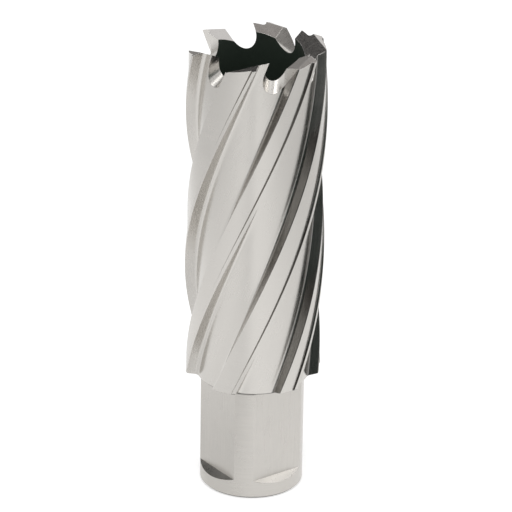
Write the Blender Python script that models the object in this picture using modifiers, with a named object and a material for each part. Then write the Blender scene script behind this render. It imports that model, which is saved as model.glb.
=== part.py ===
# Annular cutter: a hollow end-cutting tool that mills a ring and leaves a slug.
# Shank, neck, fluted body, web and teeth are one piece of high-speed steel.
# It stands on the end of its shank with the teeth up. Lengths are in metres,
# +Z is up, and the origin is the centre of the shank's end face.

import math

import bmesh
import bpy
from mathutils import Vector

CUTTER_NAME = "annular_cutter"

# Shank with two flats for the clamping screws
SHANK_DIAMETER = 0.01905
SHANK_LENGTH = 0.0217
SHANK_END_CHAMFER = 0.0004
FLAT_DEPTH = 0.001645
FLAT_FOOT_HEIGHT = 0.0036
FLAT_FOOT_SLOPE = math.radians(26.0)
FLAT_AZIMUTHS = (math.radians(36.5), math.radians(-53.5))

# Neck and shoulder between the shank and the fluted body
NECK_DEPTH = 0.00212
NECK_HEIGHT = 0.0008
NECK_EDGE_BREAK = 0.00035
SHOULDER_CHAMFER = 0.0002

# Fluted body
CUTTER_LENGTH = 0.086
CUTTING_DIAMETER = 0.0254
BACK_TAPER = 0.0013
HELIX_LEAD = 0.1738
FLUTE_DEPTH = 0.00235
FLUTE_ANGLE = math.radians(38.6)
LEADING_WALL_LEAN = math.radians(-4.5)
LEADING_ROOT_RADIUS = 0.0008
TRAILING_WALL_LEAN = math.radians(11.0)
TRAILING_ROOT_RADIUS = 0.0006
LAND_CLEARANCE = 0.00042
MARGIN_WIDTH = 0.00073
MARGIN_STEP_WIDTH = 0.0002

# Core bore that the slug fills, and pilot pin bore through the shank
WALL_THICKNESS = 0.0043
CORE_BORE_DEPTH = 0.056
CORE_POINT_ANGLE = math.radians(118.0)
PILOT_BORE_DIAMETER = 0.0065

# Tooth tops, ground as a roof that falls away behind the cutting edge
RIDGE_FROM_OUTSIDE = 0.0015
TOOTH_RELIEF = math.radians(14.5)
INNER_FACET_SLOPE = math.radians(24.5)
OUTER_FACET_SLOPE = math.radians(17.0)

# Gullets that cut the web in front of each tooth and fall outwards
GULLET_DEPTH = 0.00253
GULLET_RADIUS = 0.0022
GULLET_RAKE = math.radians(21.0)
GULLET_FALL = math.radians(43.0)
GULLET_HEEL_SLOPE = math.radians(76.0)

# Each tooth: azimuth of its margin's back edge at the tip, and the angle by which
# its web edge leads that. The uneven spacing keeps the cut free of chatter.
TEETH = (
    (math.radians(-3.1), math.radians(14.5)),
    (math.radians(53.4), math.radians(9.6)),
    (math.radians(113.7), math.radians(16.8)),
    (math.radians(168.5), math.radians(16.5)),
    (math.radians(229.6), math.radians(10.4)),
    (math.radians(294.1), math.radians(14.9)),
)

# How finely round forms are divided
TURNED_STEPS = 72
SWEEP_STEP = math.radians(5.0)
ARC_STEP = math.radians(4.6)
ROOT_ARC_POINTS = 4
GULLET_ARC_POINTS = 11

# How far a cutting tool runs past the metal that it removes
OVERRUN = 0.0015
BORE_OVERRUN = 0.0025
GRINDING_STOCK = 0.0004

# Steel as it leaves the grinder
STEEL_COLOUR = (0.62, 0.61, 0.585, 1.0)
STEEL_METALLIC = 1.0
STEEL_ROUGHNESS = 0.34
SHARP_EDGE_ANGLE = math.radians(25.0)

shank_radius = SHANK_DIAMETER / 2
flat_from_axis = shank_radius - FLAT_DEPTH
cutting_radius = CUTTING_DIAMETER / 2
core_radius = cutting_radius - WALL_THICKNESS
ridge_radius = cutting_radius - RIDGE_FROM_OUTSIDE
pilot_radius = PILOT_BORE_DIAMETER / 2
land_radius = cutting_radius - LAND_CLEARANCE
floor_radius = cutting_radius - FLUTE_DEPTH
stock_top = CUTTER_LENGTH + GRINDING_STOCK
shoulder_height = SHANK_LENGTH + NECK_HEIGHT
shoulder_radius = cutting_radius - BACK_TAPER * (CUTTER_LENGTH - shoulder_height)
neck_radius = shoulder_radius - NECK_DEPTH
margin_angle = MARGIN_WIDTH / cutting_radius
gullet_turn = math.asin(2 * GULLET_RADIUS * math.cos(GULLET_RAKE) / floor_radius)

UP = Vector((0.0, 0.0, 1.0))


def polar(radius, azimuth, height=0.0):
    """Point at an azimuth counted from -Y towards +X."""
    return Vector((radius * math.sin(azimuth), -radius * math.cos(azimuth), height))


def outward(azimuth):
    return polar(1.0, azimuth)


def along_turn(azimuth):
    """Direction in which the azimuth grows, which is the way the teeth cut."""
    return Vector((math.cos(azimuth), math.sin(azimuth), 0.0))


def clear_scene():
    for item in list(bpy.data.objects):
        bpy.data.objects.remove(item, do_unlink=True)


def make_collection(name):
    collection = bpy.data.collections.new(name)
    bpy.context.scene.collection.children.link(collection)
    return collection


def make_steel():
    steel = bpy.data.materials.new("ground_tool_steel")
    steel.use_nodes = True
    shader = steel.node_tree.nodes["Principled BSDF"]
    shader.inputs["Base Color"].default_value = STEEL_COLOUR
    shader.inputs["Metallic"].default_value = STEEL_METALLIC
    shader.inputs["Roughness"].default_value = STEEL_ROUGHNESS
    steel.diffuse_color = STEEL_COLOUR
    return steel


def add_object(name, shape, collection):
    mesh = bpy.data.meshes.new(name)
    shape.to_mesh(mesh)
    shape.free()
    item = bpy.data.objects.new(name, mesh)
    collection.objects.link(item)
    return item


def add_cutter(name, shape, collection):
    bmesh.ops.recalc_face_normals(shape, faces=shape.faces)
    cutter = add_object(name, shape, collection)
    cutter.hide_render = True
    cutter.display_type = "WIRE"
    return cutter


def face_from(shape, outline):
    return shape.faces.new([shape.verts.new(point) for point in outline])


def straight_sweep(outline, travel):
    """Closed prism: a flat outline moved along one straight line."""
    shape = bmesh.new()
    start = face_from(shape, outline)
    swept = bmesh.ops.extrude_face_region(shape, geom=[start])
    moved = [item for item in swept["geom"] if isinstance(item, bmesh.types.BMVert)]
    bmesh.ops.translate(shape, verts=moved, vec=travel)
    return shape


def helical_sweep(outline, rise):
    """Closed solid: a flat outline raised and turned with the flutes' helix."""
    turn = math.tau * rise / HELIX_LEAD
    steps = math.ceil(turn / SWEEP_STEP)
    shape = bmesh.new()
    face_from(shape, outline)
    bmesh.ops.spin(
        shape,
        geom=shape.verts[:] + shape.edges[:] + shape.faces[:],
        cent=(0.0, 0.0, 0.0),
        axis=(0.0, 0.0, 1.0),
        dvec=(0.0, 0.0, rise / steps),
        angle=turn,
        steps=steps,
        use_duplicate=False,
    )
    return shape


def blank_profile():
    """Half section of the turned blank, down its outside and up its bores."""
    point_height = (core_radius - pilot_radius) / math.tan(CORE_POINT_ANGLE / 2)
    core_floor = CUTTER_LENGTH - CORE_BORE_DEPTH
    outside = [
        (cutting_radius, stock_top),
        (shoulder_radius, shoulder_height + SHOULDER_CHAMFER),
        (shoulder_radius - SHOULDER_CHAMFER, shoulder_height),
        (neck_radius, SHANK_LENGTH + NECK_EDGE_BREAK),
        (neck_radius - NECK_EDGE_BREAK, SHANK_LENGTH),
        (shank_radius, SHANK_LENGTH),
        (shank_radius, SHANK_END_CHAMFER),
        (shank_radius - SHANK_END_CHAMFER, 0.0),
    ]
    inside = [
        (pilot_radius + SHANK_END_CHAMFER, 0.0),
        (pilot_radius, SHANK_END_CHAMFER),
        (pilot_radius, core_floor - point_height),
        (core_radius, core_floor),
        (core_radius, stock_top),
    ]
    return outside + inside


def turn_blank(collection):
    shape = bmesh.new()
    corners = [shape.verts.new((radius, 0.0, height)) for radius, height in blank_profile()]
    for corner, following in zip(corners, corners[1:] + corners[:1]):
        shape.edges.new((corner, following))
    blank = add_object(CUTTER_NAME, shape, collection)
    turning = blank.modifiers.new("turned", "SCREW")
    turning.axis = "Z"
    turning.angle = math.tau
    turning.steps = TURNED_STEPS
    turning.render_steps = TURNED_STEPS
    turning.use_merge_vertices = True
    turning.merge_threshold = 0.00001
    return blank


def flat_cutter(azimuth, collection, name):
    """Removes the shank beyond one flat, down to the ramp at the flat's foot."""
    reach = shank_radius + OVERRUN
    foot_drop = (reach - flat_from_axis) * math.tan(FLAT_FOOT_SLOPE)
    corners = [
        (flat_from_axis, SHANK_LENGTH),
        (flat_from_axis, FLAT_FOOT_HEIGHT),
        (reach, FLAT_FOOT_HEIGHT - foot_drop),
        (reach, SHANK_LENGTH),
    ]
    half_width = along_turn(azimuth) * shank_radius
    outline = [polar(radius, azimuth, height) - half_width for radius, height in corners]
    return add_cutter(name, straight_sweep(outline, half_width * 2), collection)


def arc(radius, start, end, step):
    """Points along a circle about the axis, with both ends."""
    count = max(1, math.ceil(abs(end - start) / step))
    return [polar(radius, start + (end - start) * index / count) for index in range(count + 1)]


def root_fillet(wall_point, wall_direction, into_flute, root_radius):
    """Arc from a flute wall to the flute floor, as points from wall to floor."""
    offset = wall_point + into_flute * root_radius
    along = offset.dot(wall_direction)
    centre_radius = floor_radius + root_radius
    travel = -along + math.sqrt(along ** 2 - offset.length_squared + centre_radius ** 2)
    centre = offset + wall_direction * travel
    from_wall = -into_flute
    from_floor = -centre.normalized()
    points = []
    for index in range(ROOT_ARC_POINTS):
        share = index / (ROOT_ARC_POINTS - 1)
        points.append(centre + from_wall.slerp(from_floor, share) * root_radius)
    return points


def azimuth_of(point):
    return math.atan2(point.x, -point.y)


def leaning(azimuth, lean):
    """Outward direction at an azimuth, tilted by the lean in the way of the cut."""
    return outward(azimuth) * math.cos(lean) + along_turn(azimuth) * math.sin(lean)


def flute_section(back_edge, spacing):
    """Flute, cleared land and margin step of one tooth, as removed in one pass.

    The outline starts at the tooth's leading edge, crosses the flute and the
    land of the tooth ahead, climbs that tooth's margin step and closes outside.
    """
    lead = back_edge + margin_angle
    lead_edge = polar(cutting_radius, lead)
    lead_wall = leaning(lead, LEADING_WALL_LEAN)
    heel = lead + FLUTE_ANGLE
    heel_wall = leaning(heel, TRAILING_WALL_LEAN)
    lead_fillet = root_fillet(lead_edge, lead_wall, UP.cross(lead_wall), LEADING_ROOT_RADIUS)
    heel_fillet = root_fillet(
        polar(land_radius, heel), heel_wall, heel_wall.cross(UP), TRAILING_ROOT_RADIUS
    )
    floor = arc(
        floor_radius,
        back_edge + (azimuth_of(lead_fillet[-1]) - back_edge) % math.tau,
        back_edge + (azimuth_of(heel_fillet[-1]) - back_edge) % math.tau,
        ARC_STEP,
    )

    next_edge = back_edge + spacing
    half_step = MARGIN_STEP_WIDTH / cutting_radius / 2
    land = arc(land_radius, heel, next_edge - half_step, ARC_STEP)
    closing = arc(cutting_radius + OVERRUN, next_edge + half_step * 2, lead, SWEEP_STEP * 2)
    start = lead_edge + lead_wall * OVERRUN
    step_top = polar(cutting_radius, next_edge + half_step)
    return [start] + lead_fillet + floor[1:-1] + heel_fillet[::-1] + land + [step_top] + closing[:-1]


def flute_cutter(tooth, following, collection, name):
    back_edge = TEETH[tooth][0]
    spacing = (TEETH[following][0] - back_edge) % math.tau
    base = SHANK_LENGTH - OVERRUN / 2
    rise = stock_top + OVERRUN - base
    turned_back = math.tau * (CUTTER_LENGTH - base) / HELIX_LEAD
    outline = flute_section(back_edge - turned_back, spacing)
    for point in outline:
        point.z = base
    return add_cutter(name, helical_sweep(outline, rise), collection)


def gullet_section():
    """Gullet outline as (across the gullet, up along the tooth face) pairs."""
    top = OVERRUN + GULLET_DEPTH * 2
    centre_height = GULLET_RADIUS - GULLET_DEPTH
    last_angle = math.pi * 1.5 + GULLET_HEEL_SLOPE
    points = [(0.0, top)]
    for index in range(GULLET_ARC_POINTS):
        angle = math.pi + (last_angle - math.pi) * index / (GULLET_ARC_POINTS - 1)
        across = GULLET_RADIUS + GULLET_RADIUS * math.cos(angle)
        points.append((across, centre_height + GULLET_RADIUS * math.sin(angle)))
    heel_across, heel_height = points[-1]
    points.append((heel_across + (top - heel_height) / math.tan(GULLET_HEEL_SLOPE), top))
    return points


def gullet_cutter(tooth, collection, name):
    back_edge, web_lead = TEETH[tooth]
    azimuth = back_edge + web_lead
    turn_way = along_turn(azimuth)
    face_up = UP * math.cos(GULLET_RAKE) + turn_way * math.sin(GULLET_RAKE)
    across_way = turn_way * math.cos(GULLET_RAKE) - UP * math.sin(GULLET_RAKE)
    fall = outward(azimuth) - face_up * math.tan(GULLET_FALL)
    inner = BORE_OVERRUN
    outer = WALL_THICKNESS + OVERRUN
    tip = polar(core_radius, azimuth, CUTTER_LENGTH) - fall * inner
    outline = []
    for across, height in gullet_section():
        outline.append(tip + across_way * across + face_up * (height / math.cos(GULLET_FALL)))
    return add_cutter(name, straight_sweep(outline, fall * (inner + outer)), collection)


def relief_cutter(tooth, previous, collection, name):
    """Grinds one tooth's roof: two facets that meet in a ridge and fall backwards."""
    lead = TEETH[tooth][0] + margin_angle
    land_heel = TEETH[previous][0] + margin_angle + FLUTE_ANGLE
    web_heel = sum(TEETH[previous]) + gullet_turn
    land_reach = land_radius * math.sin((lead - land_heel) % math.tau)
    web_reach = floor_radius * math.sin((lead - web_heel) % math.tau)
    back = max(land_reach, web_reach) + OVERRUN / 3
    front = OVERRUN * 2
    inner = core_radius - BORE_OVERRUN
    outer = cutting_radius + OVERRUN
    above = OVERRUN * 3
    roof = [
        (inner, -(ridge_radius - inner) * math.tan(INNER_FACET_SLOPE)),
        (ridge_radius, 0.0),
        (outer, -(outer - ridge_radius) * math.tan(OUTER_FACET_SLOPE)),
        (outer, above),
        (inner, above),
    ]
    slope = along_turn(lead) + UP * math.tan(TOOTH_RELIEF)
    outline = [polar(radius, lead, CUTTER_LENGTH + rise) - slope * back for radius, rise in roof]
    return add_cutter(name, straight_sweep(outline, slope * (back + front)), collection)


def cut(blank, cutter):
    """Subtracts one cutter from the blank, as a live modifier."""
    modifier = blank.modifiers.new(cutter.name, "BOOLEAN")
    modifier.operation = "DIFFERENCE"
    modifier.solver = "EXACT"
    modifier.object = cutter


def apply_cuts(cutter):
    """Keeps the finished shape and gives its round faces smooth shading."""
    bpy.context.view_layer.update()
    finished = cutter.evaluated_get(bpy.context.evaluated_depsgraph_get())
    mesh = bpy.data.meshes.new_from_object(finished)
    cutter.modifiers.clear()
    cutter.data = mesh
    mesh.name = CUTTER_NAME
    mesh.shade_smooth()
    mesh.set_sharp_from_angle(angle=SHARP_EDGE_ANGLE)


def build():
    clear_scene()
    part = make_collection(CUTTER_NAME)
    tools = make_collection("cutting_tools")
    cutter = turn_blank(part)
    for number, azimuth in enumerate(FLAT_AZIMUTHS, start=1):
        cut(cutter, flat_cutter(azimuth, tools, f"flat_tool_{number}"))
    for tooth in range(len(TEETH)):
        cut(cutter, gullet_cutter(tooth, tools, f"gullet_tool_{tooth + 1}"))
        cut(cutter, relief_cutter(tooth, tooth - 1, tools, f"relief_tool_{tooth + 1}"))
    for tooth in range(len(TEETH)):
        following = (tooth + 1) % len(TEETH)
        cut(cutter, flute_cutter(tooth, following, tools, f"flute_tool_{tooth + 1}"))
    apply_cuts(cutter)
    cutter.data.materials.clear()
    cutter.data.materials.append(make_steel())


build()
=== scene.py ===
import math

import bmesh
import bpy
from mathutils import Matrix, Vector


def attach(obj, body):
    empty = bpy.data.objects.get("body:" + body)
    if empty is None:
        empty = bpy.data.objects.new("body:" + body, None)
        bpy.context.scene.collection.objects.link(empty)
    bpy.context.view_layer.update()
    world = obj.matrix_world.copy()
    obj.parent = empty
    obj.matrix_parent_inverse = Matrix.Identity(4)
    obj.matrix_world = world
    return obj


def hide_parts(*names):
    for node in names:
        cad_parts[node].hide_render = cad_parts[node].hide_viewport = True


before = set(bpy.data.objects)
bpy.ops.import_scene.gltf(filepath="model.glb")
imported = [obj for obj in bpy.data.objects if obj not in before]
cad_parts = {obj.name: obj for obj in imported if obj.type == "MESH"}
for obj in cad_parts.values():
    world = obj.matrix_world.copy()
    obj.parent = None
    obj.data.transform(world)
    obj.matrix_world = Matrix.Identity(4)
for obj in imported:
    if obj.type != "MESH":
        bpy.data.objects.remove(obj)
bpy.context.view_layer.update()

# Looks of the annular cutter. It is one piece of ground high-speed steel, turned,
# milled and ground here in the same order as in the shop, with finer steps than the
# solid has. Lengths are in metres, +Z is up, and the teeth cut towards growing azimuth.

# Shank and its two flats
SHANK_RADIUS = 0.009525
SHANK_LENGTH = 0.0217
SHANK_END_CHAMFER = 0.0004
FLAT_FROM_AXIS = 0.00788
FLAT_FOOT_HEIGHT = 0.0036
FLAT_FOOT_SLOPE = math.radians(26.0)
FLAT_AZIMUTHS = (math.radians(36.5), math.radians(-53.5))

# Neck and shoulder
NECK_RADIUS = 0.0105
NECK_EDGE_BREAK = 0.00035
SHOULDER_HEIGHT = 0.0225
SHOULDER_RADIUS = 0.012617
SHOULDER_CHAMFER = 0.0002

# Fluted body
CUTTER_LENGTH = 0.086
CUTTING_RADIUS = 0.0127
HELIX_LEAD = 0.1738
LAND_RADIUS = 0.01228
FLOOR_RADIUS = 0.01035
FLUTE_ANGLE = math.radians(38.6)
LEADING_WALL_LEAN = math.radians(-4.5)
LEADING_ROOT_RADIUS = 0.0008
TRAILING_WALL_LEAN = math.radians(11.0)
TRAILING_ROOT_RADIUS = 0.0006
MARGIN_ANGLE = 0.00073 / CUTTING_RADIUS
MARGIN_STEP_ANGLE = 0.0002 / CUTTING_RADIUS
HEEL_BREAK = 0.00009

# Bores
CORE_RADIUS = 0.0084
CORE_FLOOR_HEIGHT = 0.030
CORE_POINT_ANGLE = math.radians(118.0)
PILOT_RADIUS = 0.00325

# Tooth tops and gullets
RIDGE_RADIUS = 0.0112
TOOTH_RELIEF = math.radians(14.5)
INNER_FACET_SLOPE = math.radians(24.5)
OUTER_FACET_SLOPE = math.radians(17.0)
GULLET_DEPTH = 0.00253
GULLET_RADIUS = 0.0022
GULLET_RAKE = math.radians(21.0)
GULLET_FALL = math.radians(43.0)
GULLET_HEEL_SLOPE = math.radians(76.0)
GULLET_TURN = math.asin(2 * GULLET_RADIUS * math.cos(GULLET_RAKE) / FLOOR_RADIUS)
TEETH = (
    (math.radians(-3.1), math.radians(14.5)),
    (math.radians(53.4), math.radians(9.6)),
    (math.radians(113.7), math.radians(16.8)),
    (math.radians(168.5), math.radians(16.5)),
    (math.radians(229.6), math.radians(10.4)),
    (math.radians(294.1), math.radians(14.9)),
)

# How finely round forms are divided, and how far a tool runs past the metal
TURNED_STEPS = 240
SWEEP_STEP = math.radians(1.5)
ARC_STEP = math.radians(1.8)
ROOT_STEP = math.radians(15.0)
GULLET_STEP = math.radians(9.0)
OVERRUN = 0.0015
BORE_OVERRUN = 0.0025
GRINDING_STOCK = 0.0004
STOCK_TOP = CUTTER_LENGTH + GRINDING_STOCK
SHARP_EDGE = math.radians(28.0)

# Steel colours
STEEL = (0.60, 0.58, 0.55)
SHANK_STEEL = (0.55, 0.53, 0.50)
# Painted shadow: the shank's end chamfer is coloured dark for the shade where it meets the table
FOOT_CONTACT_SHADOW = (0.31, 0.30, 0.285)
# Painted light: trailing walls get a lighter tone than the lands, which the painted shade below darkens
# towards +X
LIT_WALL_STEEL = (0.72, 0.70, 0.67)
GULLET_STEEL = (0.62, 0.60, 0.57)
TOP_STEEL = (0.505, 0.482, 0.463)
BORE_SKIN = (0.022, 0.034, 0.024)

# Painted shade at the step above the shank, for the shadow under the neck: it sets in at a start height
# and is full one length further, upwards on the shank and downwards on the neck
STEP_SHADE = (0.10, 0.095, 0.09)
DEEP_STEP_SHADE = (0.06, 0.058, 0.055)
STEP_SHADE_START = 0.0211
STEP_SHADE_LENGTH = 0.0004
NECK_SHADE_START = 0.0224
NECK_SHADE_LENGTH = -0.0002

# Painted shade: trailing walls are painted darker towards +X
WALL_SHADE = (0.27, 0.262, 0.25)
WALL_SHADE_START = 0.0015
WALL_SHADE_LENGTH = 0.006

# Grinder's grain, in steps to the metre across and along the grinding, and clouds
GRAIN_FAST = 4200.0
GRAIN_SLOW = 150.0
GRAIN_TOOTH = 0.5                     # share of the fineness left in height on a tooth
GRAIN_DETAIL = 4.0
GRAIN_WEIGHT = 0.6
GRAIN_HEIGHT = 0.000004
GRAIN_RELIEF = 0.5
CLOUD = 260.0
CLOUD_DETAIL = 3.0
CLOUD_WEIGHT = 0.4

# Edges rubbed round and bright by handling
RUBBED_STEEL = (0.70, 0.69, 0.67, 1.0)
RUBBED_SHARE = 0.7
RUBBED_GAIN = 5.0
EDGE_ROUNDING = 0.00008
EDGE_SAMPLES = 6

# What grain, clouds and rubbing do to the roughness
GRAIN_DULLING = 0.16
CLOUD_DULLING = 0.12
RUBBED_POLISH = 0.08
LEAST_ROUGHNESS = 0.05

# Camera, fitted to the outline in the photograph
CAMERA_TARGET = Vector((0.000279, 0.0, 0.044777))
CAMERA_DISTANCE = 0.650
CAMERA_ELEVATION = math.radians(23.766)
CAMERA_ROLL = math.radians(0.927)
CAMERA_LENS = 251.14
CAMERA_SENSOR = 36.0
CAMERA_NEAR = 0.01

# White room and table
WHITE = (1.0, 1.0, 1.0, 1.0)
TABLE_PAINT = (0.82, 0.82, 0.82, 1.0)
TABLE_RADIUS = 3.0
TABLE_STEPS = 96
WORLD_FILL = 0.55
FLOOR_GLOW = 0.51

# Painted shade on the table, seen only in the steel: greyer away from the middle line, and greyer
# near the cutter on the left, where it stands in for the cutter's shadow at its foot
SIDE_OFFSET = 0.01
SIDE_FALLOFF = 11.0
SIDE_SHADE = 0.32
LEFT_RISE = -12.0
LEFT_SHADE = 0.3
LEFT_FADE = 14.0

# Lamps: name, size, place, radiance
LAMP_AIM = Vector((0.0, 0.0, 0.05))
LAMPS = (
    ("back_softbox", 0.44, (0.63, 0.27, 1.05), 1.9),
    ("front_softbox", 0.34, (0.0, -0.42, 1.05), 5.5),
    ("left_softbox", 0.30, (-0.80, -0.42, 0.90), 3.9),
)

# Cards that stand round the cutter: name, first and last azimuth in degrees,
# bottom, top, colour
CARD_DISTANCE = 0.4
CARD_STEPS = 16
UPRIGHT_CARDS = (
    ("tall_card", -165, -122, 0.2, 1.05, (0.045, 0.045, 0.044)),
    ("roof_card", -175, -150, 0.0, 0.34, (0.36, 0.35, 0.34)),
    ("left_card", -122, -95, 0.0, 0.28, (0.55, 0.535, 0.515)),
    ("near_left_card", -95, -70, 0.0, 0.34, (0.42, 0.405, 0.385)),
    ("front_left_card", -70, -45, 0.0, 0.45, (0.20, 0.19, 0.178)),
    ("front_card", -45, -20, 0.0, 0.45, (0.045, 0.038, 0.032)),
    ("front_right_card", -20, 50, 0.0, 0.28, (0.05, 0.065, 0.058)),
    ("gullet_card", 20, 60, 0.46, 1.0, (0.2, 0.195, 0.19)),
    ("right_card", 85, 125, 0.0, 0.30, (0.2, 0.195, 0.19)),
)

# Round card that hangs overhead: name, place, radius, colour
CEILING_CARD = ("ceiling_card", (0.235, 0.336, 1.1), 0.3, (0.4, 0.385, 0.375))
CEILING_CARD_STEPS = 48

# Outputs of the nodes that tell where a point is and what kind of ray meets it
OBJECT_PLACE = 3
SURFACE_NORMAL = 1
CAMERA_RAY, GLOSSY_RAY, TRANSMISSION_RAY = 0, 3, 6

# How far a face has to turn before it counts as bore, leading wall or trailing wall
BORE_TURN = 0.3
LEADING_TURN = 0.6
TRAILING_TURN = 0.3

UP = Vector((0.0, 0.0, 1.0))
CENTRE = Vector((0.0, 0.0, 0.0))

# Finish of each ground or turned surface, in the order of the material slots
FOOT, SHANK, FLAT, NECK, NECK_SIDE, LAND, FLOOR, LEADING, TRAILING, GULLET, TOP, BORE = range(12)


def polar(radius, azimuth, height=0.0):
    """Point at an azimuth counted from -Y towards +X."""
    return Vector((radius * math.sin(azimuth), -radius * math.cos(azimuth), height))


def outward(azimuth):
    return polar(1.0, azimuth)


def along_turn(azimuth):
    return Vector((math.cos(azimuth), math.sin(azimuth), 0.0))


def azimuth_of(point):
    return math.atan2(point.x, -point.y)


def leaning(azimuth, lean):
    """Outward direction at an azimuth, tilted by the lean in the way of the cut."""
    return outward(azimuth) * math.cos(lean) + along_turn(azimuth) * math.sin(lean)


class Pen:
    """Draws an outline with straight lines and arcs, and closes it to a face."""

    def __init__(self, start):
        self.shape = bmesh.new()
        self.start = self.shape.verts.new(start)
        self.tip = self.start

    def line(self, point):
        corner = self.shape.verts.new(point)
        self.shape.edges.new((self.tip, corner))
        self.tip = corner

    def arc(self, centre, axis, angle, step):
        swept = bmesh.ops.spin(
            self.shape, geom=[self.tip], cent=centre, axis=axis, dvec=(0.0, 0.0, 0.0),
            angle=angle, steps=max(1, math.ceil(abs(angle) / step)), use_duplicate=False,
        )
        self.tip = [item for item in swept["geom_last"] if isinstance(item, bmesh.types.BMVert)][0]

    def close(self):
        self.shape.edges.new((self.tip, self.start))
        bmesh.ops.contextual_create(self.shape, geom=self.shape.edges[:])
        return self.shape


def straight_sweep(shape, travel):
    """Closed prism: the outline moved along one straight line."""
    swept = bmesh.ops.extrude_face_region(shape, geom=shape.faces[:])
    moved = [item for item in swept["geom"] if isinstance(item, bmesh.types.BMVert)]
    bmesh.ops.translate(shape, verts=moved, vec=travel)
    return shape


def helical_sweep(shape, rise):
    """Closed solid: the outline raised and turned with the flutes' helix."""
    turn = math.tau * rise / HELIX_LEAD
    steps = math.ceil(turn / SWEEP_STEP)
    bmesh.ops.spin(
        shape, geom=shape.verts[:] + shape.edges[:] + shape.faces[:], cent=CENTRE, axis=UP,
        dvec=UP * (rise / steps), angle=turn, steps=steps, use_duplicate=False,
    )
    return shape


def put_in_scene(name, shape, finishes):
    bmesh.ops.recalc_face_normals(shape, faces=shape.faces)
    mesh = bpy.data.meshes.new(name)
    shape.to_mesh(mesh)
    shape.free()
    for finish in finishes:
        mesh.materials.append(finish)
    item = bpy.data.objects.new(name, mesh)
    bpy.context.scene.collection.objects.link(item)
    return item


def paint(shape, finish):
    for face in shape.faces:
        face.material_index = finish


def turned_blank(finishes):
    """The blank as it leaves the lathe: outside, end faces and both bores."""
    point_height = (CORE_RADIUS - PILOT_RADIUS) / math.tan(CORE_POINT_ANGLE / 2)
    profile = (
        (CUTTING_RADIUS, STOCK_TOP),
        (SHOULDER_RADIUS, SHOULDER_HEIGHT + SHOULDER_CHAMFER),
        (SHOULDER_RADIUS - SHOULDER_CHAMFER, SHOULDER_HEIGHT),
        (NECK_RADIUS, SHANK_LENGTH + NECK_EDGE_BREAK),
        (NECK_RADIUS - NECK_EDGE_BREAK, SHANK_LENGTH),
        (SHANK_RADIUS, SHANK_LENGTH),
        (SHANK_RADIUS, SHANK_END_CHAMFER),
        (SHANK_RADIUS - SHANK_END_CHAMFER, 0.0),
        (PILOT_RADIUS + SHANK_END_CHAMFER, 0.0),
        (PILOT_RADIUS, SHANK_END_CHAMFER),
        (PILOT_RADIUS, CORE_FLOOR_HEIGHT - point_height),
        (CORE_RADIUS, CORE_FLOOR_HEIGHT),
        (CORE_RADIUS, STOCK_TOP),
    )
    shape = bmesh.new()
    corners = [shape.verts.new((radius, 0.0, height)) for radius, height in profile]
    for corner, following in zip(corners, corners[1:] + corners[:1]):
        shape.edges.new((corner, following))
    bmesh.ops.spin(
        shape, geom=shape.verts[:] + shape.edges[:], cent=CENTRE, axis=UP, dvec=(0.0, 0.0, 0.0),
        angle=math.tau, steps=TURNED_STEPS, use_merge=True, use_duplicate=False,
    )
    bmesh.ops.remove_doubles(shape, verts=shape.verts, dist=0.000001)
    bmesh.ops.recalc_face_normals(shape, faces=shape.faces)
    for face in shape.faces:
        middle = face.calc_center_median()
        facing_out = face.normal.dot(outward(azimuth_of(middle)))
        if facing_out < -BORE_TURN:
            face.material_index = BORE
        elif middle.z < SHANK_END_CHAMFER:
            face.material_index = FOOT
        elif SHANK_LENGTH < middle.z < SHANK_LENGTH + NECK_EDGE_BREAK:
            face.material_index = NECK
        elif SHANK_LENGTH < middle.z < SHOULDER_HEIGHT:
            face.material_index = NECK_SIDE
        elif middle.z < SHOULDER_HEIGHT + SHOULDER_CHAMFER:
            face.material_index = SHANK
        else:
            face.material_index = LAND
    return put_in_scene("cutter", shape, finishes)


def flat_tool(azimuth, finishes):
    """Removes the shank beyond one flat, down to the ramp at the flat's foot."""
    reach = SHANK_RADIUS + OVERRUN
    foot_drop = (reach - FLAT_FROM_AXIS) * math.tan(FLAT_FOOT_SLOPE)
    half_width = along_turn(azimuth) * SHANK_RADIUS
    pen = Pen(polar(FLAT_FROM_AXIS, azimuth, SHANK_LENGTH) - half_width)
    pen.line(polar(FLAT_FROM_AXIS, azimuth, FLAT_FOOT_HEIGHT) - half_width)
    pen.line(polar(reach, azimuth, FLAT_FOOT_HEIGHT - foot_drop) - half_width)
    pen.line(polar(reach, azimuth, SHANK_LENGTH) - half_width)
    shape = straight_sweep(pen.close(), half_width * 2)
    paint(shape, FLAT)
    return put_in_scene("flat_tool", shape, finishes)


def root_centre(wall_point, wall_direction, into_flute, root_radius):
    """Centre of the arc that joins a flute wall to the flute floor."""
    offset = wall_point + into_flute * root_radius
    along = offset.dot(wall_direction)
    reach = FLOOR_RADIUS + root_radius
    return offset + wall_direction * (
        -along + math.sqrt(along ** 2 - offset.length_squared + reach ** 2)
    )


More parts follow.
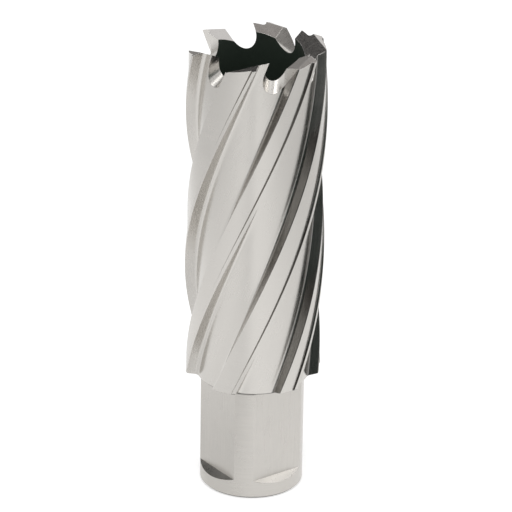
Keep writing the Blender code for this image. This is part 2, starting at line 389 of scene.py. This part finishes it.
def flute_tool(tooth, finishes):
    """One tooth's flute, the cleared land behind it and the next margin's step."""
    last_edge = TEETH[tooth][0]
    next_edge = TEETH[(tooth + 1) % len(TEETH)][0]
    base = SHANK_LENGTH - OVERRUN / 2
    turned_back = math.tau * (CUTTER_LENGTH - base) / HELIX_LEAD
    back_edge = last_edge - turned_back
    step_edge = back_edge + (next_edge - last_edge) % math.tau
    lead = back_edge + MARGIN_ANGLE
    heel = lead + FLUTE_ANGLE
    lead_point = polar(CUTTING_RADIUS, lead)
    lead_wall = leaning(lead, LEADING_WALL_LEAN)
    heel_point = polar(LAND_RADIUS, heel)
    heel_wall = leaning(heel, TRAILING_WALL_LEAN)
    into_lead = UP.cross(lead_wall)
    into_heel = heel_wall.cross(UP)
    lead_centre = root_centre(lead_point, lead_wall, into_lead, LEADING_ROOT_RADIUS)
    heel_centre = root_centre(heel_point, heel_wall, into_heel, TRAILING_ROOT_RADIUS)
    floor_start = azimuth_of(lead_centre)
    floor_turn = (azimuth_of(heel_centre) - floor_start) % math.tau

    pen = Pen(lead_point + lead_wall * OVERRUN)
    pen.line(lead_centre - into_lead * LEADING_ROOT_RADIUS)
    pen.arc(lead_centre, UP, -into_lead.angle(lead_centre), ROOT_STEP)
    pen.arc(CENTRE, UP, floor_turn, ARC_STEP)
    pen.arc(heel_centre, UP, -into_heel.angle(heel_centre), ROOT_STEP)
    pen.line(heel_point - heel_wall * HEEL_BREAK)
    pen.line(polar(LAND_RADIUS, heel + HEEL_BREAK / LAND_RADIUS))
    land_end = step_edge - MARGIN_STEP_ANGLE / 2
    pen.arc(CENTRE, UP, land_end - heel - HEEL_BREAK / LAND_RADIUS, ARC_STEP)
    pen.line(polar(CUTTING_RADIUS, step_edge + MARGIN_STEP_ANGLE / 2))
    outside_start = step_edge + MARGIN_STEP_ANGLE
    pen.line(polar(CUTTING_RADIUS + OVERRUN, outside_start))
    pen.arc(CENTRE, UP, lead - outside_start + math.radians(1.0), ARC_STEP * 4)
    shape = pen.close()
    bmesh.ops.translate(shape, verts=shape.verts, vec=UP * base)
    helical_sweep(shape, STOCK_TOP + OVERRUN - base)
    bmesh.ops.recalc_face_normals(shape, faces=shape.faces)
    for face in shape.faces:
        middle = face.calc_center_median()
        flat_middle = Vector((middle.x, middle.y, 0.0))
        along = face.normal.dot(along_turn(azimuth_of(middle)))
        if along > TRAILING_TURN:
            face.material_index = TRAILING
        elif along < -LEADING_TURN:
            face.material_index = LEADING
        elif flat_middle.length > LAND_RADIUS - HEEL_BREAK:
            face.material_index = LAND
        else:
            face.material_index = FLOOR
    return put_in_scene("flute_tool", shape, finishes)


def gullet_tool(tooth, finishes):
    """U-shaped slot that cuts the web in front of a tooth and falls outwards."""
    back_edge, web_lead = TEETH[tooth]
    azimuth = back_edge + web_lead
    turn_way = along_turn(azimuth)
    face_up = UP * math.cos(GULLET_RAKE) + turn_way * math.sin(GULLET_RAKE)
    across = turn_way * math.cos(GULLET_RAKE) - UP * math.sin(GULLET_RAKE)
    fall = outward(azimuth) - face_up * math.tan(GULLET_FALL)
    tip = polar(CORE_RADIUS, azimuth, CUTTER_LENGTH) - fall * BORE_OVERRUN
    steepness = 1 / math.cos(GULLET_FALL)
    above = OVERRUN + GULLET_DEPTH * 2
    centre_height = GULLET_RADIUS - GULLET_DEPTH
    run_out = above - centre_height + GULLET_RADIUS * math.cos(GULLET_HEEL_SLOPE)

    pen = Pen((0.0, 0.0, above))
    pen.line((0.0, 0.0, centre_height))
    pen.arc(
        (GULLET_RADIUS, 0.0, centre_height), (0.0, 1.0, 0.0),
        -(math.pi / 2 + GULLET_HEEL_SLOPE), GULLET_STEP,
    )
    heel = pen.tip.co
    pen.line((heel.x + run_out / math.tan(GULLET_HEEL_SLOPE), 0.0, above))
    shape = pen.close()
    place = Matrix((across, fall.normalized(), face_up * steepness)).transposed().to_4x4()
    bmesh.ops.transform(shape, matrix=Matrix.Translation(tip) @ place, verts=shape.verts)
    straight_sweep(shape, fall * (CUTTING_RADIUS - CORE_RADIUS + OVERRUN + BORE_OVERRUN))
    paint(shape, GULLET)
    return put_in_scene("gullet_tool", shape, finishes)


def relief_tool(tooth, finishes):
    """Grinds one tooth's roof: two facets that meet in a ridge and fall backwards."""
    lead = TEETH[tooth][0] + MARGIN_ANGLE
    land_heel = TEETH[tooth - 1][0] + MARGIN_ANGLE + FLUTE_ANGLE
    web_heel = sum(TEETH[tooth - 1]) + GULLET_TURN
    land_reach = LAND_RADIUS * math.sin((lead - land_heel) % math.tau)
    web_reach = FLOOR_RADIUS * math.sin((lead - web_heel) % math.tau)
    back = max(land_reach, web_reach) + OVERRUN / 3
    front = OVERRUN * 2
    inner = CORE_RADIUS - BORE_OVERRUN
    outer = CUTTING_RADIUS + OVERRUN
    above = CUTTER_LENGTH + OVERRUN * 3
    slope = along_turn(lead) + UP * math.tan(TOOTH_RELIEF)
    inner_height = CUTTER_LENGTH - (RIDGE_RADIUS - inner) * math.tan(INNER_FACET_SLOPE)
    outer_height = CUTTER_LENGTH - (outer - RIDGE_RADIUS) * math.tan(OUTER_FACET_SLOPE)
    pen = Pen(polar(inner, lead, inner_height) - slope * back)
    pen.line(polar(RIDGE_RADIUS, lead, CUTTER_LENGTH) - slope * back)
    pen.line(polar(outer, lead, outer_height) - slope * back)
    pen.line(polar(outer, lead, above) - slope * back)
    pen.line(polar(inner, lead, above) - slope * back)
    shape = straight_sweep(pen.close(), slope * (back + front))
    paint(shape, TOP)
    return put_in_scene("relief_tool", shape, finishes)


def make_cutter(finishes):
    """Turns the blank, cuts it with every tool and keeps the finished shape."""
    cutter = turned_blank(finishes)
    tools = [flat_tool(azimuth, finishes) for azimuth in FLAT_AZIMUTHS]
    for tooth in range(len(TEETH)):
        tools.append(gullet_tool(tooth, finishes))
        tools.append(relief_tool(tooth, finishes))
    tools.extend(flute_tool(tooth, finishes) for tooth in range(len(TEETH)))
    for tool in tools:
        cut = cutter.modifiers.new(tool.name, "BOOLEAN")
        cut.operation = "DIFFERENCE"
        cut.solver = "EXACT"
        cut.object = tool
    bpy.context.view_layer.update()
    finished = bpy.data.meshes.new_from_object(
        cutter.evaluated_get(bpy.context.evaluated_depsgraph_get())
    )
    cutter.modifiers.clear()
    cutter.data = finished
    for tool in tools:
        bpy.data.objects.remove(tool, do_unlink=True)
    finished.shade_smooth()
    finished.set_sharp_from_angle(angle=SHARP_EDGE)
    return cutter


class Amount:
    """A number that varies from point to point; sums on it add Math nodes."""

    def __init__(self, bench, socket):
        self.bench = bench
        self.socket = socket

    def sum(self, operation, *numbers):
        return self.bench.add("ShaderNodeMath", {"operation": operation}, dict(enumerate(numbers)))

    def __add__(self, other):
        return self.sum("ADD", self, other)

    def __radd__(self, other):
        return self.sum("ADD", other, self)

    def __sub__(self, other):
        return self.sum("SUBTRACT", self, other)

    def __rsub__(self, other):
        return self.sum("SUBTRACT", other, self)

    def __mul__(self, other):
        return self.sum("MULTIPLY", self, other)

    def __rmul__(self, other):
        return self.sum("MULTIPLY", other, self)

    def at_least(self, other):
        return self.sum("MAXIMUM", self, other)

    def at_most(self, other):
        return self.sum("MINIMUM", self, other)

    def sine(self):
        return self.sum("SINE", self)

    def cosine(self):
        return self.sum("COSINE", self)

    def turned_from(self, other):
        return self.sum("ARCTAN2", self, other)


class Bench:
    """Node tree of one finish, emptied and then wired node by node."""

    def __init__(self, owner):
        owner.use_nodes = True
        self.tree = owner.node_tree
        self.tree.nodes.clear()

    def add(self, kind, settings, sockets, output=0):
        """Adds a node: its settings first, then the values or links of its sockets."""
        node = self.tree.nodes.new(kind)
        for name, value in settings.items():
            setattr(node, name, value)
        for name, value in sockets.items():
            if isinstance(value, Amount):
                self.tree.links.new(value.socket, node.inputs[name])
            else:
                node.inputs[name].default_value = value
        return Amount(self, node.outputs[output]) if node.outputs else None

    def place(self):
        """The point's own x, y and z on the cutter."""
        point = self.add("ShaderNodeTexCoord", {}, {}, output=OBJECT_PLACE)
        return [self.add("ShaderNodeSeparateXYZ", {}, {0: point}, output=axis) for axis in range(3)]

    def ray(self, kind):
        """1 where the ray is of this kind, else 0."""
        return self.add("ShaderNodeLightPath", {}, {}, output=kind)

    def noise(self, x, y, z, detail):
        spot = self.add("ShaderNodeCombineXYZ", {}, {0: x, 1: y, 2: z})
        return self.add(
            "ShaderNodeTexNoise", {}, {"Vector": spot, "Scale": 1.0, "Detail": detail}
        )

    def blend(self, share, first, second):
        """Colour between two others."""
        return self.add(
            "ShaderNodeMix", {"data_type": "RGBA"}, {0: share, 6: first, 7: second}, output=2
        )


def lines_round_axis(bench):
    """Rings left by turning and round grinding."""
    x, y, z = bench.place()
    return bench.noise(x * GRAIN_SLOW, y * GRAIN_SLOW, z * GRAIN_FAST, GRAIN_DETAIL)


def lines_along_flute(bench):
    """Lines that the flute grinder leaves along the helix."""
    x, y, z = bench.place()
    turn = z * (math.tau / HELIX_LEAD)
    untwisted_x = x * turn.cosine() + y * turn.sine()
    untwisted_y = y * turn.cosine() - x * turn.sine()
    return bench.noise(
        untwisted_x * GRAIN_FAST, untwisted_y * GRAIN_FAST, z * GRAIN_SLOW, GRAIN_DETAIL
    )


def lines_along_shank(bench):
    """Upright lines of the grinder on the flats."""
    x, y, z = bench.place()
    return bench.noise(x * GRAIN_FAST, y * GRAIN_FAST, z * GRAIN_SLOW, GRAIN_DETAIL)


def lines_across_tooth(bench):
    """Lines that run from the bore to the outside, over roofs and gullets."""
    x, y, z = bench.place()
    turn = x.turned_from(y)
    return bench.noise(
        turn * (CUTTING_RADIUS * GRAIN_FAST), z * GRAIN_FAST * GRAIN_TOOTH, 0.0, GRAIN_DETAIL
    )


def clouding(bench):
    """Faint patches a few millimetres wide."""
    x, y, z = bench.place()
    return bench.noise(x * CLOUD, y * CLOUD, z * CLOUD, CLOUD_DETAIL)


def rubbing(bench, rounded):
    """1 on edges, where the rounded surface leaves the true one, and 0 on open faces."""
    straight = bench.add("ShaderNodeNewGeometry", {}, {}, output=SURFACE_NORMAL)
    level = bench.add(
        "ShaderNodeVectorMath", {"operation": "DOT_PRODUCT"}, {0: rounded, 1: straight}, output=1
    )
    return ((1.0 - level) * RUBBED_GAIN).at_most(1.0)


def steel(name, colour, roughness, lines, grain=0.1, metallic=1.0, drift=None):
    """Ground steel: grain lines, faint clouds and edges rubbed bright.

    A drift (colour, axis, start, length) paints shade: it changes the tone to the other colour
    from the start on, over that length along the axis.
    """
    material = bpy.data.materials.new(name)
    bench = Bench(material)
    grain_lines = lines(bench)
    clouds = clouding(bench)
    rounded = bench.add("ShaderNodeBevel", {"samples": EDGE_SAMPLES}, {"Radius": EDGE_ROUNDING})
    rubbed = rubbing(bench, rounded)
    shade = (grain_lines * GRAIN_WEIGHT + clouds * CLOUD_WEIGHT).at_least(0.0)
    darker = [part * (1.0 - grain) for part in colour] + [1.0]
    lighter = [min(1.0, part * (1.0 + grain)) for part in colour] + [1.0]
    tone = bench.blend(shade, darker, lighter)
    if drift:
        other_colour, axis, start, length = drift
        share = (bench.place()[axis] - start) * (1.0 / length)
        tone = bench.blend(share.at_least(0.0).at_most(1.0), tone, (*other_colour, 1.0))
    tone = bench.blend(rubbed * RUBBED_SHARE, tone, RUBBED_STEEL)
    dulled = (grain_lines - 0.5) * GRAIN_DULLING + (clouds - 0.5) * CLOUD_DULLING
    gloss = (roughness + dulled - rubbed * RUBBED_POLISH).at_least(LEAST_ROUGHNESS)
    relief = bench.add(
        "ShaderNodeBump", {},
        {"Strength": GRAIN_RELIEF, "Distance": GRAIN_HEIGHT, "Height": grain_lines, "Normal": rounded},
    )
    shader = bench.add(
        "ShaderNodeBsdfPrincipled", {},
        {"Base Color": tone, "Metallic": metallic, "Roughness": gloss, "Normal": relief},
    )
    bench.add("ShaderNodeOutputMaterial", {}, {"Surface": shader})
    return material


SIDEWAYS, UPWARDS = 0, 2
# Painted shade on the shank and the neck next to the step
SHADE_BELOW_STEP = (STEP_SHADE, UPWARDS, STEP_SHADE_START, STEP_SHADE_LENGTH)
SHADE_ABOVE_STEP = (STEP_SHADE, UPWARDS, NECK_SHADE_START, NECK_SHADE_LENGTH)
WALL_SHADE_DRIFT = (WALL_SHADE, SIDEWAYS, WALL_SHADE_START, WALL_SHADE_LENGTH)
FINISHES = [
    # Painted shadow on the foot chamfer
    steel("shank_foot_shadowed", FOOT_CONTACT_SHADOW, 0.45, lines_round_axis),
    steel("ground_shank", SHANK_STEEL, 0.3, lines_round_axis, grain=0.13, drift=SHADE_BELOW_STEP),
    steel("ground_flat", SHANK_STEEL, 0.3, lines_along_shank, grain=0.13, drift=SHADE_BELOW_STEP),
    # Painted shade: the neck's lower edge break is coloured dark for the shadow line under the neck
    steel("neck_edge_shaded", DEEP_STEP_SHADE, 0.5, lines_round_axis),
    steel("neck_side", STEEL, 0.24, lines_round_axis, drift=SHADE_ABOVE_STEP),
    steel("ground_land", STEEL, 0.24, lines_round_axis),
    steel("ground_flute", STEEL, 0.25, lines_along_flute),
    steel("leading_wall", STEEL, 0.28, lines_along_flute),
    # Painted light and shade on the trailing walls
    steel("trailing_wall", LIT_WALL_STEEL, 0.24, lines_along_flute, drift=WALL_SHADE_DRIFT),
    steel("gullet", GULLET_STEEL, 0.29, lines_across_tooth, grain=0.12),
    steel("tooth_top", TOP_STEEL, 0.22, lines_across_tooth),
    steel("dark_bore", BORE_SKIN, 0.6, lines_round_axis, metallic=0.0),
]

cutter = make_cutter(FINISHES)
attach(cutter, "root")
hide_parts("annular_cutter")


def make_camera():
    """Camera at the photograph's viewing angle, with its slight roll."""
    forward = Vector((0.0, math.cos(CAMERA_ELEVATION), -math.sin(CAMERA_ELEVATION)))
    right = Vector((1.0, 0.0, 0.0))
    upward = right.cross(forward)
    across = right * math.cos(CAMERA_ROLL) + upward * math.sin(CAMERA_ROLL)
    rise = upward * math.cos(CAMERA_ROLL) - right * math.sin(CAMERA_ROLL)
    data = bpy.data.cameras.new("camera")
    data.sensor_width = CAMERA_SENSOR
    data.lens = CAMERA_LENS
    data.clip_start = CAMERA_NEAR
    camera = bpy.data.objects.new("camera", data)
    place = Matrix((across, rise, -forward)).transposed().to_4x4()
    place.translation = CAMERA_TARGET - forward * CAMERA_DISTANCE
    camera.matrix_world = place
    bpy.context.scene.collection.objects.link(camera)
    bpy.context.scene.camera = camera


def seen_rays(bench):
    """1 for rays that show the background: the camera's, and those off metal or glass."""
    straight_or_mirrored = bench.ray(CAMERA_RAY).at_least(bench.ray(GLOSSY_RAY))
    return straight_or_mirrored.at_least(bench.ray(TRANSMISSION_RAY))


def make_backdrop():
    """White room: full white where it is seen, dimmer as a light."""
    world = bpy.data.worlds.new("studio")
    bpy.context.scene.world = world
    bench = Bench(world)
    strength = WORLD_FILL + (1.0 - WORLD_FILL) * seen_rays(bench)
    white = bench.add("ShaderNodeBackground", {}, {"Color": WHITE, "Strength": strength})
    bench.add("ShaderNodeOutputWorld", {}, {"Surface": white})


def make_floor():
    """White table; the steel sees painted shade on it, a little greyer at the sides and by the cutter's
    left foot.
    """
    shape = bmesh.new()
    bmesh.ops.create_circle(shape, cap_ends=True, radius=TABLE_RADIUS, segments=TABLE_STEPS)
    material = bpy.data.materials.new("white_table")
    bench = Bench(material)
    across = bench.place()[SIDEWAYS]
    aside = across + SIDE_OFFSET
    side = (aside * aside * SIDE_FALLOFF).at_most(SIDE_SHADE)
    nearness = (across * LEFT_FADE + 1.0).at_least(0.0)
    left = (across * LEFT_RISE).at_least(0.0).at_most(LEFT_SHADE) * nearness
    greyer = (side + left) * (1.0 - bench.ray(CAMERA_RAY))
    paint_coat = bench.add("ShaderNodeBsdfDiffuse", {}, {"Color": TABLE_PAINT})
    glow = bench.add(
        "ShaderNodeEmission", {}, {"Color": WHITE, "Strength": (FLOOR_GLOW - greyer) * seen_rays(bench)}
    )
    both = bench.add("ShaderNodeAddShader", {}, {0: paint_coat, 1: glow})
    bench.add("ShaderNodeOutputMaterial", {}, {"Surface": both})
    put_in_scene("floor", shape, [material])


def make_lamp(name, size, place, radiance):
    """Square soft box that faces the cutter."""
    data = bpy.data.lights.new(name, "AREA")
    data.shape = "SQUARE"
    data.size = size
    data.energy = radiance * math.pi * size ** 2
    lamp = bpy.data.objects.new(name, data)
    lamp.location = place
    lamp.rotation_mode = "QUATERNION"
    lamp.rotation_quaternion = (LAMP_AIM - Vector(place)).to_track_quat("-Z", "Y")
    bpy.context.scene.collection.objects.link(lamp)


def stage_card(name, shape, colour):
    """Card that only the steel sees, as a photographer hangs to darken a reflection."""
    material = bpy.data.materials.new(name)
    bench = Bench(material)
    cloth = bench.add("ShaderNodeEmission", {}, {"Color": (*colour, 1.0), "Strength": 1.0})
    bench.add("ShaderNodeOutputMaterial", {}, {"Surface": cloth})
    card = put_in_scene(name, shape, [material])
    card.visible_camera = False
    card.visible_diffuse = False
    card.visible_shadow = False


def upright_card(name, start, end, bottom, top, colour):
    """Curved card between two azimuths in degrees."""
    shape = bmesh.new()
    low = shape.verts.new(polar(CARD_DISTANCE, math.radians(start), bottom))
    high = shape.verts.new(polar(CARD_DISTANCE, math.radians(start), top))
    edge = shape.edges.new((low, high))
    bmesh.ops.spin(
        shape, geom=[low, high, edge], cent=CENTRE, axis=UP, dvec=(0.0, 0.0, 0.0),
        angle=math.radians(end - start), steps=CARD_STEPS, use_duplicate=False,
    )
    stage_card(name, shape, colour)


def hanging_card(name, place, radius, colour):
    """Round level card overhead."""
    shape = bmesh.new()
    bmesh.ops.create_circle(shape, cap_ends=True, radius=radius, segments=CEILING_CARD_STEPS)
    bmesh.ops.translate(shape, verts=shape.verts, vec=place)
    stage_card(name, shape, colour)


make_camera()
bpy.context.scene.view_settings.view_transform = "Standard"
make_backdrop()
make_floor()
for lamp_facts in LAMPS:
    make_lamp(*lamp_facts)
for card_facts in UPRIGHT_CARDS:
    upright_card(*card_facts)
hanging_card(*CEILING_CARD)
